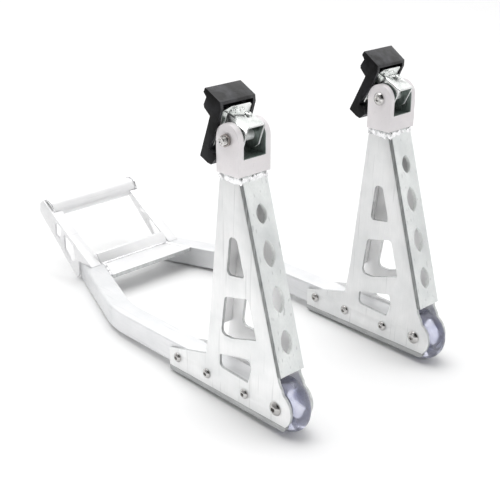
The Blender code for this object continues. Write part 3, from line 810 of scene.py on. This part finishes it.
def make_grip(half, inner):
    rings = [
        (GRIP_RADIUS, half - 0.5),
        (GRIP_RADIUS, 0.5 - half),
        (GRIP_RADIUS - 0.5, -half),
        (inner, -half),
        (inner, half),
        (GRIP_RADIUS - 0.5, half),
    ]
    place = at(0, GRIP_Y, GRIP_Z)
    grip = turned("grip_tube_finished", rings, "bar", "frame", place, 72, True)
    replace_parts(grip, "grip_tube")


def make_grip_end(side, sign, half, inner):
    """Weld round the grip's end, and the plug that closes it."""
    ring = []
    x = sign * (half - 0.6)
    reach = GRIP_RADIUS + 0.6
    for i in range(24):
        angle = 2 * math.pi * i / 24
        ring.append((x, GRIP_Y + reach * math.cos(angle), GRIP_Z + reach * math.sin(angle)))
    bead(f"grip_weld_{side}", ring, (1, 0, 0), (1.4, 1.6), "frame", closed=True)
    plug = inner - 0.1
    rings = [(0, -PLUG_DEPTH), (plug, -PLUG_DEPTH), (plug, -1.0), (plug - 0.6, -0.5), (0, -0.4)]
    place = at(sign * half, GRIP_Y, GRIP_Z, sign)
    turned(f"grip_plug_{side}", rings, "bar", "frame", place)


def make_rear():
    make_rails()
    half = HANDLE_WEB_X - HANDLE_SHEET / 2 - GAP
    inner = GRIP_RADIUS - GRIP_WALL
    make_grip(half, inner)
    for side, sign in SIDES.items():
        edge = [(sign * rail_inner_x(y), y, RAIL_TOP) for y in (CROSSBAR_FRONT, CROSSBAR_REAR)]
        bead(f"crossbar_weld_{side}", edge, (0, 0, 1), (2.2, 1.0), "frame")
        make_grip_end(side, sign, half, inner)
    reach = rail_inner_x(HANDLE_ROOT) + 8
    y, z = HANDLE_ROOT - 8.5, RAIL_TOP + 0.4
    path = [(-reach, y, z), (reach, y, z)]
    bead("root_weld_front", path, (0, 0, 1), (2.2, 1.4), "frame")


# Camera, floor and light

# The camera's place and angles in the stand's frame
CAMERA_PLACE = Vector((-905.2, -745.0, 657.3))
CAMERA_YAW = math.radians(46.408)
CAMERA_PITCH = math.radians(23.082)
CAMERA_LENS = 72.57
CAMERA_SHIFT = (-0.0021, 0.0056)
# Directions where the studio is darker: direction, where it is darkest, where it ends, light left
DARK_SIDES = (((-0.40, -0.60, 0.70), 0.88, 0.62, 0.05), ((-1.0, 0.15, 0.1), 0.9, 0.3, 0.35))
WORLD_BRIGHT = 1.22
FLOOR_HALF = 9.0
# Softboxes: place, point that they face, size and watts
TOP_BOX = ((-0.2, 0.8, 4.0), (0, 0, 0.15), (4.0, 4.0), 95)
# Low softboxes stand for the pale floor's glow, so the camera and reflections don't see them
LOW_BOXES = {
    "low_box_front": ((-0.8, -0.7, 0.04), (0.1, -0.15, 0.04), (0.6, 0.08), 1.5),
    "low_box_side": ((-0.32, -0.12, 0.02), (0, -0.12, 0.03), (0.65, 0.05), 0.16),
}


def make_camera():
    data = bpy.data.cameras.new("camera")
    data.lens = CAMERA_LENS
    data.shift_x, data.shift_y = CAMERA_SHIFT
    camera = bpy.data.objects.new("camera", data)
    bpy.context.scene.collection.objects.link(camera)
    ahead = Vector(
        (
            math.cos(CAMERA_YAW) * math.cos(CAMERA_PITCH),
            math.sin(CAMERA_YAW) * math.cos(CAMERA_PITCH),
            -math.sin(CAMERA_PITCH),
        )
    )
    right = Vector((math.sin(CAMERA_YAW), -math.cos(CAMERA_YAW), 0))
    turn = STAND.to_3x3().normalized() @ Matrix((right, right.cross(ahead), -ahead)).transposed()
    camera.matrix_world = Matrix.Translation(STAND @ CAMERA_PLACE) @ turn.to_4x4()
    bpy.context.scene.camera = camera


def softbox(name, place, target, size, power):
    light = bpy.data.lights.new(name, "AREA")
    light.shape = "RECTANGLE"
    light.size, light.size_y = size
    light.energy = power
    lamp = bpy.data.objects.new(name, light)
    bpy.context.scene.collection.objects.link(lamp)
    lamp.location = place
    lamp.rotation_euler = (Vector(target) - Vector(place)).to_track_quat("-Z", "Y").to_euler()
    return lamp


def make_world():
    """White studio light all round, darker towards a few sides."""
    world = bpy.data.worlds.new("studio")
    world.use_nodes = True
    tree = world.node_tree
    backdrop = tree.nodes["Background"]
    backdrop.inputs["Color"].default_value = (1.0, 1.0, 1.0, 1.0)
    direction = tree.nodes.new("ShaderNodeTexCoord")
    strength = WORLD_BRIGHT
    for side, near, far, left_over in DARK_SIDES:
        toward = tree.nodes.new("ShaderNodeVectorMath")
        toward.operation = "DOT_PRODUCT"
        tree.links.new(direction.outputs["Generated"], toward.inputs[0])
        toward.inputs[1].default_value = Vector(side).normalized()
        fade = tree.nodes.new("ShaderNodeMapRange")
        fade.interpolation_type = "SMOOTHSTEP"
        limits = {"From Min": far, "From Max": near, "To Min": 1.0, "To Max": left_over}
        for name, number in limits.items():
            fade.inputs[name].default_value = number
        tree.links.new(toward.outputs["Value"], fade.inputs["Value"])
        product = tree.nodes.new("ShaderNodeMath")
        product.operation = "MULTIPLY"
        tree.links.new(fade.outputs["Result"], product.inputs[0])
        if isinstance(strength, float):
            product.inputs[1].default_value = strength
        else:
            tree.links.new(strength, product.inputs[1])
        strength = product.outputs["Value"]
    tree.links.new(strength, backdrop.inputs["Strength"])
    bpy.context.scene.world = world


def make_floor():
    bm = bmesh.new()
    bmesh.ops.create_grid(bm, x_segments=1, y_segments=1, size=FLOOR_HALF)
    mesh = bpy.data.meshes.new("floor")
    bm.to_mesh(mesh)
    bm.free()
    material, nodes = finish_with("floor_paper", Roughness=0.9)
    paper = nodes.blend(nodes.noise(6), (0.93, 0.93, 0.93), (0.95, 0.95, 0.95))
    nodes.feed(nodes.shader.inputs["Base Color"], paper)
    mesh.materials.append(material)
    floor = bpy.data.objects.new("floor", mesh)
    bpy.context.scene.collection.objects.link(floor)


def make_studio():
    bpy.context.scene.view_settings.view_transform = "Standard"
    make_world()
    softbox("top_box", *TOP_BOX)
    for name, setting in LOW_BOXES.items():
        low = softbox(name, *setting)
        low.visible_camera = False
        low.visible_glossy = False
    make_floor()


def main():
    make_camera()
    make_studio()
    for side, sign in SIDES.items():
        make_upright(side, sign)
        make_fasteners(side, sign)
        make_wheel(side, sign)
        make_head(side)
    make_rear()


main()
